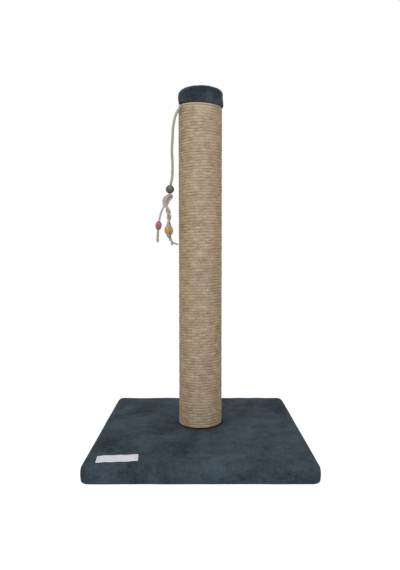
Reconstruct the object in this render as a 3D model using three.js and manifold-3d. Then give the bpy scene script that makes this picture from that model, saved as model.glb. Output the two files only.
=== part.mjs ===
// A cat scratching post: a plush-covered board, a cardboard tube wound with sisal rope, a plush cap,
// and a beaded cord toy that hangs from under the cap's hem.
// Millimetres, +Z up. The origin is on the floor under the middle of the base, and -Y is the front.
import * as THREE from "three";
import { mergeVertices } from "three/addons/utils/BufferGeometryUtils.js";
import Module from "manifold-3d";

// Fits
const seatGap = 0.3; // between pieces that rest on, in or against each other
const boltClearance = 0.5; // round the bolt's shank

// Base
const baseWidth = 400;
const baseDepth = 400;
const baseCornerRadius = 15;
const boardThickness = 25;
const boardBottomEase = 1;
const plushThickness = 5.5; // the base's: pile and backing
const hemThickness = 3; // the plush pressed flat under the board
const hemWidth = 45;
const topEdgeRadius = 13;
const bottomEdgeRadius = 4;

// Woven tag, sewn near the front left corner of the base
const tagLength = 70;
const tagWidth = 28;
const tagThickness = 0.7;
const tagCornerRadius = 1;
const tagFromLeft = 59.5; // its middle, from the base's left side
const tagFromFront = 25.8;
const tagTurn = 5.5; // degrees

// Post
const postSetBack = 16.5; // behind the middle of the base
const postSeatDepth = 2.5; // how far the post presses into the pile
const tubeRadius = 37.5;
const tubeWall = 4;
const tubeLength = 665;
const plugThickness = 18;
const plugEase = 1;

// Fastening, an M8 bolt from below into a T-nut
const boltRadius = 4;
const boltHeadHeight = 5.3;
const boltHeadAcross = 13;
const boltProjection = 3; // past the nut
const washerRadius = 12;
const washerThickness = 2;
const counterboreRadius = 14;
const counterboreDepth = 9;
const nutFlangeRadius = 11;
const nutFlangeThickness = 1.6;
const nutBarrelRadius = 6;
const nutBarrelDepth = 12;

// Sisal rope
const ropeRadius = 2.7;
const ropeSpacing = 0.1; // least room left between turns
const shownTurns = 12; // modelled as turns, at each end of the winding
const ropeSeamAngle = 90; // degrees from +X: the rope's ends are at the back

// Cap
const capHeight = 33.4;
const capThickness = 6.5; // pile and backing
const capEdgeRadius = 7;
const capHemRadius = 2.4;
const capCrown = 1.2;
const hemRise = 3.5; // how much higher the hem is at the sides than at the front and back
const hemTilt = 2.5; // the hem is this much higher still at the left, and lower at the right
const hemFlare = 1.4; // the hem stands out at the right and is drawn in at the left

// Toy
const cordRadius = 2.2; // the cord that it hangs by, and the tie
const tailRadius = 1.8; // the red bead's tail
const twinTailRadius = 2; // the two tails that are twisted together
const tieInset = 0.1; // how far the tie lies inside the rope's outer face
const toyAzimuth = -150; // degrees from +X: front left
const toyExitAngle = 32; // degrees below level, from the tie to where the cord bends
const greenBeadRadius = 8.3;
const redBeadRadius = 6;
const twinBeadRadius = 6;
const tailBeadStretch = 1.5; // the tails' beads are this much longer than they are wide
const beadBoreClearance = 0.7;
const crossingRadii = [6.4, 3.4, 4]; // outwards, sideways and up
const collarRadii = [5.8, 3.8, 3.1];
const endKnotRadii = [2.9, 2.9, 4.6];
const tailsKnotRadii = [3.3, 3, 3.8];
const strandPitch = 4.1; // from the red bead's tail to the next one, where they leave the crossing
const twistRadius = 2.3;
const twistTurns = 1.25;

// How finely round forms are faceted
const roundSteps = 48;
const smallRoundSteps = 20;
const turnSteps = 24;
const hiddenSteps = 24; // the discs inside the tube
const ropeSides = 6;
const cordSides = 8;
const tieSides = 6;
const beadSteps = 14;
const cornerSteps = 6;
const edgeSteps = 4;
const cordStep = 3.2; // least length of a step along a cord

// Heights, from the floor up
const boardBottom = hemThickness + seatGap;
const boardTop = boardBottom + boardThickness;
const baseHeight = boardTop + seatGap + plushThickness;
const postSeat = baseHeight - postSeatDepth;
const tubeBottom = postSeat + seatGap;
const tubeTop = tubeBottom + tubeLength;
const capInside = tubeTop + seatGap;
const capTop = capInside + capThickness;
const capHem = capTop - capHeight;
const tieHeight = capHem - seatGap - cordRadius;

// Radii round the post's axis
const ropeInside = tubeRadius + seatGap;
const ropeCentre = (ropeInside + ropeRadius) / Math.cos(Math.PI / turnSteps);
const ropeOutside = ropeCentre + ropeRadius;
const capInner = tubeRadius + seatGap;
const capOuter = capInner + capThickness;
const tieCentre = ropeOutside - tieInset - cordRadius;

// The winding: its lowest and highest centres and its turns
const windingLow = tubeBottom + ropeRadius;
const windingHigh = tieHeight - cordRadius - seatGap - ropeRadius;
const ropeTurns = Math.floor((windingHigh - windingLow) / (2 * ropeRadius + ropeSpacing));
const ropePitch = (windingHigh - windingLow) / ropeTurns;
const shownRise = shownTurns * ropePitch;

// The toy's own frame: outwards from the post's axis, sideways towards the front, and up from the hang point
const tieToHang = 2 * cordRadius + seatGap + 0.1;
const hangOut = tieCentre + tieToHang * Math.cos(THREE.MathUtils.degToRad(toyExitAngle));
const hangHeight = tieHeight - tieToHang * Math.sin(THREE.MathUtils.degToRad(toyExitAngle));

// Where the toy bends: [outwards, up] from the hang point
const sideBend = [10.9, -18.5];
const tailBendHeight = -193.5;

// The hanging cord's two stretches, and where it goes straight through the green bead
const topRoute = [[5.7, -7.4]];
const hangingRoute = [
  [12.8, -25.4],
  [15.7, -41.6],
  [17.1, -62.7],
  [18.5, -87.2],
  [17.3, -105.5],
  [17.4, -124],
  [18.8, -140],
  [21.2, -149.6],
];
const greenBeadAt = [23.1, -159.7];
const greenBeadLean = [1, -9.5];

// The knot: a collar under the bead, four strands side by side that lean outwards, and their crossing
const collarAt = [22, -171.9];
const strandSideways = 1; // to the front and to the back in turn
const strandRoutes = [
  [[25.6, -171.9], [33.2, -176.4], [36.2, -182.4], [34, -189.6]],
  [[23, -172], [29.6, -177.2], [32.6, -183.2], [32.6, -190]],
  [[20, -172.2], [25.8, -178.4], [29.2, -184.8], [31.4, -190]],
  [[17.8, -172.2], [21.8, -179.2], [25.8, -185.6], [30.4, -190]],
];
const crossingAt = [32.2, -189];

// The red bead's tail, and the two that are twisted together
const redTailRoute = [
  [42, -204.8],
  [45.8, -218.4],
];
const redBeadAt = [48, -230.7];
const redBeadLean = [1.6, -14];
const redTailEnd = [49.8, -253.2];
const twistRoute = [
  [30.2, tailBendHeight],
  [26.7, -204.1],
  [25.4, -212.6],
  [25.9, -221.4],
];
const orangeBeadAt = [30.7, -239.2];
const oliveBeadAt = [21, -239.4];
const twinSideways = 4; // the orange bead is this far to the front, the olive one to the back
const tailsKnotAt = [22.4, -256.4];
const straightEndRoute = [
  [22, -257.4],
  [19.9, -262],
  [19.2, -268.6],
];
const curledEndRoute = [
  [21.4, -258],
  [16.2, -262.8],
  [10.6, -265.4],
  [4.4, -265.8],
];

const wasm = await Module();
wasm.setup();

const root = new THREE.Group();
const post = new THREE.Group();
const toy = new THREE.Group();
post.position.y = postSetBack;
toy.rotation.z = THREE.MathUtils.degToRad(toyAzimuth);
toy.position.z = hangHeight;
post.add(toy);
root.add(post);

// --- Solids -----------------------------------------------------------------------------------------

/** A closed geometry as a solid. */
function solidOf(geometry) {
  const bare = geometry.clone();
  bare.deleteAttribute("normal");
  bare.deleteAttribute("uv");
  const merged = mergeVertices(bare, 1e-4);
  const vertProperties = merged.attributes.position.array;
  const triVerts = new Uint32Array(merged.index.array);
  return new wasm.Manifold(new wasm.Mesh({ numProp: 3, vertProperties, triVerts }));
}

/** A solid as a geometry. */
function geometryOf(solid) {
  const mesh = solid.getMesh();
  const geometry = new THREE.BufferGeometry();
  geometry.setAttribute("position", new THREE.BufferAttribute(mesh.vertProperties, 3));
  geometry.setIndex(new THREE.BufferAttribute(mesh.triVerts, 1));
  return geometry;
}

function joined(...geometries) {
  return geometryOf(geometries.map(solidOf).reduce((whole, next) => whole.add(next)));
}

function cut(geometry, ...tools) {
  return geometryOf(tools.map(solidOf).reduce((whole, tool) => whole.subtract(tool), solidOf(geometry)));
}

/** A geometry from rings of points, each joined to the next, with the first and last closed by fans. */
function lofted(rings) {
  const sides = rings[0].length;
  const points = rings.flat();
  const faces = [];
  for (let ring = 0; ring + 1 < rings.length; ring += 1) {
    for (let side = 0; side < sides; side += 1) {
      const here = ring * sides + side;
      const beside = ring * sides + ((side + 1) % sides);
      faces.push(here, beside, beside + sides, here, beside + sides, here + sides);
    }
  }
  const middleOf = (ring) => {
    const middle = ring.reduce((sum, point) => sum.add(point), new THREE.Vector3());
    return middle.divideScalar(ring.length);
  };
  const first = points.push(middleOf(rings[0])) - 1;
  const last = points.push(middleOf(rings[rings.length - 1])) - 1;
  const lastRing = (rings.length - 1) * sides;
  for (let side = 0; side < sides; side += 1) {
    const beside = (side + 1) % sides;
    faces.push(first, beside, side);
    faces.push(last, lastRing + side, lastRing + beside);
  }
  const geometry = new THREE.BufferGeometry().setFromPoints(points);
  geometry.setIndex(faces);
  return geometry;
}

/** A profile of [radius, height] pairs turned round the Z axis. */
function turned(profile, steps) {
  const points = profile.map(([radius, height]) => new THREE.Vector2(radius, height));
  return new THREE.LatheGeometry(points, steps).rotateX(Math.PI / 2);
}

/** A ring of rectangular section. */
function ringSolid(inner, outer, bottom, top, steps) {
  const profile = [
    [inner, bottom],
    [outer, bottom],
    [outer, top],
    [inner, top],
    [inner, bottom],
  ];
  return turned(profile, steps);
}

/** A cylinder on the Z axis. */
function cylinder(radius, bottom, top, steps) {
  const geometry = new THREE.CylinderGeometry(radius, radius, top - bottom, steps).rotateX(Math.PI / 2);
  return geometry.translate(0, 0, (top + bottom) / 2);
}

/** Points on a quarter circle, as [radius, height] pairs, from one angle in degrees to the next. */
function arc(centre, radius, from, to, steps) {
  return Array.from({ length: steps + 1 }, (_, k) => {
    const angle = THREE.MathUtils.degToRad(from + ((to - from) * k) / steps);
    return [centre[0] + radius * Math.cos(angle), centre[1] + radius * Math.sin(angle)];
  });
}

/** The outline of a rectangle with round corners, drawn in all round by inset. */
function roundedOutline(width, depth, corner, inset, height) {
  const outline = [];
  const signs = [
    [1, 1],
    [-1, 1],
    [-1, -1],
    [1, -1],
  ];
  signs.forEach(([signX, signY], quarter) => {
    const centre = [signX * (width / 2 - corner), signY * (depth / 2 - corner)];
    const points = arc(centre, corner - inset, 90 * quarter, 90 * (quarter + 1), cornerSteps);
    outline.push(...points.map(([x, y]) => new THREE.Vector3(x, y, height)));
  });
  return outline;
}

/** A slab with round corners, a round top edge and a round bottom edge. */
function slab({ width, depth, bottom, top, corner, topEdge, bottomEdge }) {
  const topRound = Math.min(topEdge, corner);
  const rings = [
    ...arc([bottomEdge, bottom + bottomEdge], bottomEdge, 270, 180, edgeSteps),
    ...arc([topRound, top - topRound], topRound, 180, 90, edgeSteps),
  ];
  return lofted(rings.map(([inset, height]) => roundedOutline(width, depth, corner, inset, height)));
}

/** A mesh of that name, in a group. */
function addPiece(group, name, geometry, material) {
  geometry.computeVertexNormals();
  const mesh = new THREE.Mesh(geometry, material);
  mesh.name = name;
  group.add(mesh);
  return mesh;
}

// --- Materials --------------------------------------------------------------------------------------

function finish(color, roughness, metalness = 0) {
  return new THREE.MeshStandardMaterial({ color, roughness, metalness });
}

const basePlush = () => finish(0x38434c, 0.95);
const capPlush = () => finish(0x2c3842, 0.95);
const board = () => finish(0xa98a63, 0.8);
const cardboard = () => finish(0xb59a74, 0.9);
const sisal = () => finish(0xb49b78, 0.95);
const zincSteel = () => finish(0xb8bcc0, 0.35, 0.9);
const wovenTag = () => finish(0xdfe4ea, 0.85);
const cordCotton = () => finish(0xb5b3a6, 0.9);
const tailCotton = () => finish(0xb9aaa6, 0.9);
const paintedBead = (color) => finish(color, 0.5);

// --- Base -------------------------------------------------------------------------------------------

/** The board's own block, grown all round by extra. */
function boardBlock(extra) {
  const around = plushThickness + seatGap - extra;
  return slab({
    width: baseWidth - 2 * around,
    depth: baseDepth - 2 * around,
    bottom: boardBottom - extra,
    top: boardTop + extra,
    corner: baseCornerRadius - around,
    topEdge: topEdgeRadius - around,
    bottomEdge: boardBottomEase,
  });
}

function baseBoard() {
  const counterbore = cylinder(
    counterboreRadius,
    boardBottom - 1,
    boardBottom + counterboreDepth,
    smallRoundSteps,
  ).translate(0, postSetBack, 0);
  const hole = cylinder(boltRadius + boltClearance, boardBottom, boardTop + 1, smallRoundSteps);
  return cut(boardBlock(0), counterbore, hole.translate(0, postSetBack, 0));
}

/** The plush: a shell round the board, open inside its hem, with a hole for the bolt and the post's seat. */
function baseCover() {
  const outside = slab({
    width: baseWidth,
    depth: baseDepth,
    bottom: 0,
    top: baseHeight,
    corner: baseCornerRadius,
    topEdge: topEdgeRadius,
    bottomEdge: bottomEdgeRadius,
  });
  const hemInset = plushThickness + seatGap + hemWidth;
  const window = slab({
    width: baseWidth - 2 * hemInset,
    depth: baseDepth - 2 * hemInset,
    bottom: -1,
    top: boardBottom + 1,
    corner: baseCornerRadius / 2,
    topEdge: boardBottomEase / 2,
    bottomEdge: boardBottomEase / 2,
  });
  const hole = cylinder(boltRadius + boltClearance, boardTop, baseHeight, smallRoundSteps);
  const seat = cylinder(ropeOutside + seatGap, postSeat, baseHeight + 1, roundSteps);
  const tools = [hole, seat].map((tool) => tool.translate(0, postSetBack, 0));
  return cut(outside, boardBlock(seatGap), window, ...tools);
}

function wovenTagPlate() {
  const outline = roundedOutline(tagLength, tagWidth, tagCornerRadius, 0, 0);
  const shape = new THREE.Shape(outline.map((point) => new THREE.Vector2(point.x, point.y)));
  const plate = new THREE.ExtrudeGeometry(shape, { depth: tagThickness, bevelEnabled: false });
  return plate.rotateZ(THREE.MathUtils.degToRad(tagTurn));
}

// --- Post -------------------------------------------------------------------------------------------

/** The lower disc: bored for the nut's barrel from above and for the bolt from below. */
function lowerPlug() {
  const outer = tubeRadius - tubeWall - seatGap;
  const bottom = tubeBottom;
  const top = bottom + plugThickness;
  const ledge = top - nutBarrelDepth - seatGap;
  const profile = [
    [boltRadius + boltClearance, bottom],
    [outer - plugEase, bottom],
    [outer, bottom + plugEase],
    [outer, top - plugEase],
    [outer - plugEase, top],
    [nutBarrelRadius + seatGap, top],
    [nutBarrelRadius + seatGap, ledge],
    [boltRadius + boltClearance, ledge],
    [boltRadius + boltClearance, bottom],
  ];
  return turned(profile, hiddenSteps);
}

function upperPlug() {
  const outer = tubeRadius - tubeWall - seatGap;
  const bottom = tubeTop - plugThickness;
  const profile = [
    [0, bottom],
    [outer - plugEase, bottom],
    [outer, bottom + plugEase],
    [outer, tubeTop - plugEase],
    [outer - plugEase, tubeTop],
    [0, tubeTop],
  ];
  return turned(profile, hiddenSteps);
}

function tNut() {
  const flangeBottom = tubeBottom + plugThickness + seatGap;
  const flangeTop = flangeBottom + nutFlangeThickness;
  const barrelBottom = flangeBottom - nutBarrelDepth;
  const bore = boltRadius + seatGap;
  const profile = [
    [bore, barrelBottom],
    [nutBarrelRadius, barrelBottom],
    [nutBarrelRadius, flangeBottom],
    [nutFlangeRadius, flangeBottom],
    [nutFlangeRadius, flangeTop],
    [bore, flangeTop],
    [bore, barrelBottom],
  ];
  return turned(profile, smallRoundSteps);
}

const washerTop = boardBottom + counterboreDepth - seatGap;
const boltHeadTop = washerTop - washerThickness - seatGap;

function boltWasher() {
  const hole = boltRadius + boltClearance;
  return ringSolid(hole, washerRadius, washerTop - washerThickness, washerTop, smallRoundSteps);
}

function baseBolt() {
  const cornerRadius = boltHeadAcross / Math.sqrt(3);
  const head = cylinder(cornerRadius, boltHeadTop - boltHeadHeight, boltHeadTop, 6);
  const end = tubeBottom + plugThickness + seatGap + nutFlangeThickness + boltProjection;
  const shank = [
    [0, boltHeadTop - boltHeadHeight / 2],
    [boltRadius, boltHeadTop - boltHeadHeight / 2],
    [boltRadius, end - boltRadius / 4],
    [boltRadius * 0.75, end],
    [0, end],
  ];
  return joined(head, turned(shank, smallRoundSteps));
}

/** How high the hem lies above its lowest place, at an angle round the cap. */
function hemLift(angle) {
  const across = Math.cos(angle);
  const lowest = hemTilt ** 2 / (4 * hemRise);
  return hemRise * across ** 2 - hemTilt * across + lowest;
}

/** The cap, turned from its profile, then with its hem lifted at the sides and flared to the right. */
function plushCap() {
  const sideTop = capTop - capEdgeRadius - capCrown;
  const profile = [
    [0, capInside],
    [capInner, capInside],
    [capInner, sideTop],
    [capInner, capHem + capHemRadius],
    [capInner + 1, capHem],
    ...arc([capOuter - capHemRadius, capHem + capHemRadius], capHemRadius, 270, 360, 3),
    [capOuter, (capHem + sideTop) / 2],
    ...arc([capOuter - capEdgeRadius, sideTop], capEdgeRadius, 0, 90, edgeSteps),
    [capOuter / 2, capTop - capCrown / 4],
    [0, capTop],
  ];
  const geometry = turned(profile, roundSteps);
  const position = geometry.attributes.position;
  for (let k = 0; k < position.count; k += 1) {
    const [x, y, z] = [position.getX(k), position.getY(k), position.getZ(k)];
    const radius = Math.hypot(x, y);
    const angle = Math.atan2(y, x);
    const share = THREE.MathUtils.smoothstep(sideTop - z, 0, sideTop - capHem);
    const outwards = Math.max(0, radius - capInner) / capThickness;
    const flare = hemFlare * Math.cos(angle) * share * outwards;
    const grown = radius > 0 ? (radius + flare) / radius : 1;
    position.setXYZ(k, x * grown, y * grown, z + hemLift(angle) * share);
  }
  return geometry;
}

// --- Rope -------------------------------------------------------------------------------------------

/**
 * Rings of points along turns of rope that climb from a height, each turn a pitch above the last.
 * Both ends run straight and square for one rope diameter, and start and stop a gap short of the seam.
 */
function turnRings(startHeight) {
  const diameter = 2 * ropeRadius;
  const swept = shownTurns * 2 * Math.PI;
  const places = [];
  const straight = (along, base) => {
    places.push([base + Math.atan2(along, ropeCentre), Math.hypot(along, ropeCentre), base]);
  };
  straight(seatGap, 0);
  straight(seatGap + diameter, 0);
  for (let step = 1; step < shownTurns * turnSteps; step += 1) {
    const angle = (step * 2 * Math.PI) / turnSteps;
    places.push([angle, ropeCentre, angle]);
  }
  straight(-seatGap - diameter, swept);
  straight(-seatGap, swept);
  return places.map(([angle, radius, facing]) => {
    const seam = THREE.MathUtils.degToRad(ropeSeamAngle);
    const centre = new THREE.Vector3(
      radius * Math.cos(seam + angle),
      radius * Math.sin(seam + angle),
      startHeight + (ropePitch * angle) / (2 * Math.PI),
    );
    const outwards = new THREE.Vector3(Math.cos(seam + facing), Math.sin(seam + facing), 0);
    return Array.from({ length: ropeSides }, (_, side) => {
      const turn = (-2 * Math.PI * side) / ropeSides;
      const point = centre.clone().addScaledVector(outwards, ropeRadius * Math.cos(turn));
      point.z += ropeRadius * Math.sin(turn);
      return point;
    });
  });
}

/** The least distance between points of the rope's surface that are half a turn or more apart along it. */
function leastGap(rings) {
  let least = Infinity;
  for (let near = 0; near < rings.length; near += 1) {
    for (let far = near + turnSteps / 2; far < rings.length; far += 1) {
      for (const a of rings[near]) {
        for (const b of rings[far]) {
          least = Math.min(least, a.distanceTo(b));
        }
      }
    }
  }
  return least;
}

function ropeEndTurns(name, startHeight) {
  const rings = turnRings(startHeight);
  console.log(`${name}: ${shownTurns} turns, least gap to itself ${leastGap(rings).toFixed(2)} mm`);
  return lofted(rings);
}

/**
 * The turns between, as one sleeve. Its ends climb with the turns, so each has a step, one pitch high at
 * the seam, that the rope's end meets. low is its bottom just past the seam, and high its top there.
 */
function ropeMiddle(low, high) {
  const points = [];
  const faces = [];
  const columns = [];
  const addPoint = (radius, angle, height) =>
    points.push(new THREE.Vector3(radius * Math.cos(angle), radius * Math.sin(angle), height)) - 1;
  for (let step = 0; step <= roundSteps; step += 1) {
    const angle = THREE.MathUtils.degToRad(ropeSeamAngle) + (step * 2 * Math.PI) / roundSteps;
    const climb = (ropePitch * step) / roundSteps;
    const heights = [low + climb, high + climb];
    if (step === 0) heights.splice(1, 0, low + ropePitch);
    if (step === roundSteps) heights.splice(1, 0, high);
    const inner = heights.map((height) => addPoint(ropeInside, angle, height));
    const outer = heights.map((height) => addPoint(ropeOutside, angle, height));
    columns.push({ inner, outer });
  }
  const fan = (apex, rim) => {
    for (let k = 0; k + 1 < rim.length; k += 1) faces.push(apex, rim[k], rim[k + 1]);
  };
  for (let step = 0; step < roundSteps; step += 1) {
    const here = columns[step];
    const next = columns[step + 1];
    if (step === 0) {
      fan(next.outer[0], [next.outer[1], here.outer[2], here.outer[1], here.outer[0]]);
      fan(next.inner[0], [here.inner[0], here.inner[1], here.inner[2], next.inner[1]]);
    } else {
      fan(here.outer[0], [next.outer[0], ...next.outer.slice(1), here.outer[1]]);
      fan(here.inner[0], [here.inner[1], ...next.inner.slice(1).reverse(), next.inner[0]]);
    }
    const hereTop = here.inner.length - 1;
    const nextTop = next.inner.length - 1;
    fan(here.inner[hereTop], [here.outer[hereTop], next.outer[nextTop], next.inner[nextTop]]);
    fan(here.inner[0], [next.inner[0], next.outer[0], here.outer[0]]);
  }
  const first = columns[0];
  const last = columns[roundSteps];
  fan(first.inner[0], [first.outer[0], first.outer[1], first.inner[1]]);
  fan(last.inner[1], [last.inner[2], last.outer[2], last.outer[1]]);
  const geometry = new THREE.BufferGeometry().setFromPoints(points);
  geometry.setIndex(faces);
  return geometry;
}

// --- Toy --------------------------------------------------------------------------------------------

/** [outwards, up] as a point in the toy's frame, moved sideways. */
function toyPoint([out, up], sideways = 0) {
  return new THREE.Vector3(hangOut + out, sideways, up);
}

/** A cord of round section through the points. */
function cordTube(points, radius) {
  const curve = new THREE.CatmullRomCurve3(points, false, "centripetal");
  const section = Array.from({ length: cordSides }, (_, side) => {
    const angle = ((side + 0.5) * 2 * Math.PI) / cordSides;
    return new THREE.Vector2(radius * Math.cos(angle), radius * Math.sin(angle));
  });
  const steps = Math.max(3, Math.floor(curve.getLength() / cordStep));
  return new THREE.ExtrudeGeometry(new THREE.Shape(section), {
    steps,
    extrudePath: curve,
    bevelEnabled: false,
  });
}

/** A ball or egg of the given radii: outwards, sideways and up. */
function egg(at, radii) {
  return new THREE.SphereGeometry(1, beadSteps, beadSteps / 2).scale(...radii).translate(at.x, at.y, at.z);
}

/** The round end of a cord that turns in its seat. */
function ballEnd(at, radius) {
  return new THREE.SphereGeometry(radius, cordSides, cordSides / 2).translate(at.x, at.y, at.z);
}

/** A bead bored along its lean, for a cord of the given radius. */
function bead(at, lean, radius, stretch, cord) {
  const bore = cord + beadBoreClearance;
  const half = THREE.MathUtils.radToDeg(Math.acos(bore / radius));
  const outside = arc([0, 0], radius, -half, half, beadSteps / 2);
  const profile = [...outside, outside[0]].map(([across, along]) => [across, along * stretch]);
  const axis = new THREE.Vector3(lean[0], 0, lean[1]).normalize();
  const upright = new THREE.Vector3(0, 0, -1);
  const geometry = turned(profile, beadSteps);
  geometry.applyQuaternion(new THREE.Quaternion().setFromUnitVectors(upright, axis));
  return geometry.translate(at.x, at.y, at.z);
}

/** The points where a cord goes into a bead, is in its middle, and comes out of it. */
function throughBead(at, lean, halfLength) {
  const axis = new THREE.Vector3(lean[0], 0, lean[1]).normalize();
  return [-1, 0, 1].map((share) => at.clone().addScaledVector(axis, share * (halfLength + seatGap)));
}

/** The point on the way from one point to an egg's middle where a cord stops, a gap short of the egg. */
function meeting(from, middle, radii) {
  const way = from.clone().sub(middle).normalize();
  const reach = 1 / way.clone().divide(new THREE.Vector3(...radii)).length();
  return middle.clone().addScaledVector(way, reach + seatGap);
}

function toyTie() {
  const ring = new THREE.TorusGeometry(tieCentre, cordRadius, tieSides, roundSteps);
  return ring.translate(0, 0, tieHeight);
}

/** The first stretch: a ball at the hang point, and a square end a gap short of the sideways bend. */
function toyCordTop() {
  const hang = toyPoint([0, 0]);
  const bend = toyPoint(sideBend);
  const next = toyPoint(hangingRoute[0]);
  const backwards = bend.clone().sub(next).normalize();
  const end = bend.clone().addScaledVector(backwards, cordRadius + seatGap);
  const route = topRoute.map((place) => toyPoint(place));
  return joined(cordTube([hang, ...route, end], cordRadius), ballEnd(hang, cordRadius));
}

/** The long stretch: a ball at the sideways bend, down and through the green bead. */
function toyCord() {
  const bend = toyPoint(sideBend);
  const through = throughBead(toyPoint(greenBeadAt), greenBeadLean, greenBeadRadius);
  const points = [bend, ...hangingRoute.map((place) => toyPoint(place)), ...through.slice(1)];
  return joined(cordTube(points, cordRadius), ballEnd(bend, cordRadius));
}

/** A collar under the bead, four strands that run together, and their crossing, cut flat for the tails. */
function toyKnot() {
  const strands = strandRoutes.map((route, k) => {
    const sideways = k % 2 ? strandSideways : -strandSideways;
    return cordTube(route.map((place) => toyPoint(place, sideways)), tailRadius);
  });
  const collar = egg(toyPoint(collarAt), collarRadii);
  const whole = joined(collar, ...strands, egg(toyPoint(crossingAt), crossingRadii));
  const flat = tailBendHeight + twinTailRadius + seatGap;
  const reach = 4 * crossingRadii[0];
  const below = new THREE.BoxGeometry(reach, reach, reach);
  below.translate(hangOut + crossingAt[0], 0, flat - reach / 2);
  return cut(whole, below);
}

function redTailCord() {
  const bend = toyPoint([twistRoute[0][0] + twistRadius + strandPitch, tailBendHeight]);
  const through = throughBead(toyPoint(redBeadAt), redBeadLean, redBeadRadius * tailBeadStretch);
  const route = redTailRoute.map((place) => toyPoint(place));
  const points = [bend, ...route, ...through, toyPoint(redTailEnd)];
  return joined(cordTube(points, tailRadius), ballEnd(bend, tailRadius));
}

function redTailKnot() {
  const up = seatGap + endKnotRadii[2];
  return egg(toyPoint([redTailEnd[0] + 0.2, redTailEnd[1] - up]), endKnotRadii);
}

/** One of the two tails that wind round each other, part, go through a bead each, and meet in a knot. */
function twistedTail(side, beadAt) {
  const route = twistRoute.map((place) => toyPoint(place));
  const middle = new THREE.CatmullRomCurve3(route, false, "centripetal");
  const points = [];
  const turnPoints = 8;
  for (let k = 0; k <= turnPoints; k += 1) {
    const share = k / turnPoints;
    const turn = 2 * Math.PI * twistTurns * share;
    const point = middle.getPointAt(share);
    point.x += side * twistRadius * Math.cos(turn);
    point.y += side * twistRadius * Math.sin(turn);
    points.push(point);
  }
  const at = toyPoint(beadAt, side * twinSideways);
  const through = throughBead(at, [0, -1], twinBeadRadius * tailBeadStretch);
  points.push(...through, meeting(through[2], toyPoint(tailsKnotAt, side), tailsKnotRadii));
  return joined(cordTube(points, twinTailRadius), ballEnd(points[0], twinTailRadius));
}

/** The knot below the twin beads, and the two ends that hang from it. */
function tailsKnot() {
  const straight = straightEndRoute.map((place) => toyPoint(place, 1));
  const curled = curledEndRoute.map((place) => toyPoint(place, -1));
  return joined(
    egg(toyPoint(tailsKnotAt), tailsKnotRadii),
    cordTube(straight, twinTailRadius),
    cordTube(curled, tailRadius),
  );
}

// --- Assembly ---------------------------------------------------------------------------------------

addPiece(root, "base_board", baseBoard(), board());
addPiece(root, "base_cover", baseCover(), basePlush());
const tag = addPiece(root, "woven_tag", wovenTagPlate(), wovenTag());
tag.position.set(tagFromLeft - baseWidth / 2, tagFromFront - baseDepth / 2, baseHeight);

addPiece(post, "base_bolt", baseBolt(), zincSteel());
addPiece(post, "bolt_washer", boltWasher(), zincSteel());
addPiece(post, "t_nut", tNut(), zincSteel());
addPiece(post, "lower_plug", lowerPlug(), board());
addPiece(post, "upper_plug", upperPlug(), board());
const tube = ringSolid(tubeRadius - tubeWall, tubeRadius, tubeBottom, tubeTop, roundSteps);
addPiece(post, "post_tube", tube, cardboard());
addPiece(post, "plush_cap", plushCap(), capPlush());

const middleLow = windingLow + shownRise - ropePitch / 2;
const middleHigh = windingHigh - shownRise - ropePitch / 2;
addPiece(post, "rope_bottom_turns", ropeEndTurns("rope_bottom_turns", windingLow), sisal());
addPiece(post, "rope_middle", ropeMiddle(middleLow, middleHigh), sisal());
addPiece(post, "rope_top_turns", ropeEndTurns("rope_top_turns", windingHigh - shownRise), sisal());

addPiece(post, "toy_tie", toyTie(), cordCotton());
addPiece(toy, "toy_cord_top", toyCordTop(), cordCotton());
addPiece(toy, "toy_cord", toyCord(), cordCotton());
const greenAt = toyPoint(greenBeadAt);
const greenBead = bead(greenAt, greenBeadLean, greenBeadRadius, 1, cordRadius);
addPiece(toy, "green_bead", greenBead, paintedBead(0x3c4636));
addPiece(toy, "toy_knot", toyKnot(), tailCotton());
addPiece(toy, "red_tail_cord", redTailCord(), tailCotton());
const redBead = bead(toyPoint(redBeadAt), redBeadLean, redBeadRadius, tailBeadStretch, tailRadius);
addPiece(toy, "red_bead", redBead, paintedBead(0x9a4a52));
addPiece(toy, "red_tail_knot", redTailKnot(), tailCotton());
addPiece(toy, "orange_tail_cord", twistedTail(1, orangeBeadAt), tailCotton());
addPiece(toy, "olive_tail_cord", twistedTail(-1, oliveBeadAt), tailCotton());
const twinBead = (place, sideways) =>
  bead(toyPoint(place, sideways), [0, -1], twinBeadRadius, tailBeadStretch, twinTailRadius);
addPiece(toy, "orange_bead", twinBead(orangeBeadAt, twinSideways), paintedBead(0xc98a3c));
addPiece(toy, "olive_bead", twinBead(oliveBeadAt, -twinSideways), paintedBead(0x9a9a4a));
addPiece(toy, "tails_knot", tailsKnot(), tailCotton());

export default root;
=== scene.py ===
"""A cat scratching post: plush-covered base, post wound with sisal rope, plush cap and a beaded cord toy.

Metres, in the part's own frame: the origin is on the floor under the middle of the base, +Z is up and -Y is
the front. Every new piece is a surface worked out from formulas, and every finish is made of nodes.
"""

import math

import bpy
import numpy as np
from mathutils import Matrix, Vector


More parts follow.
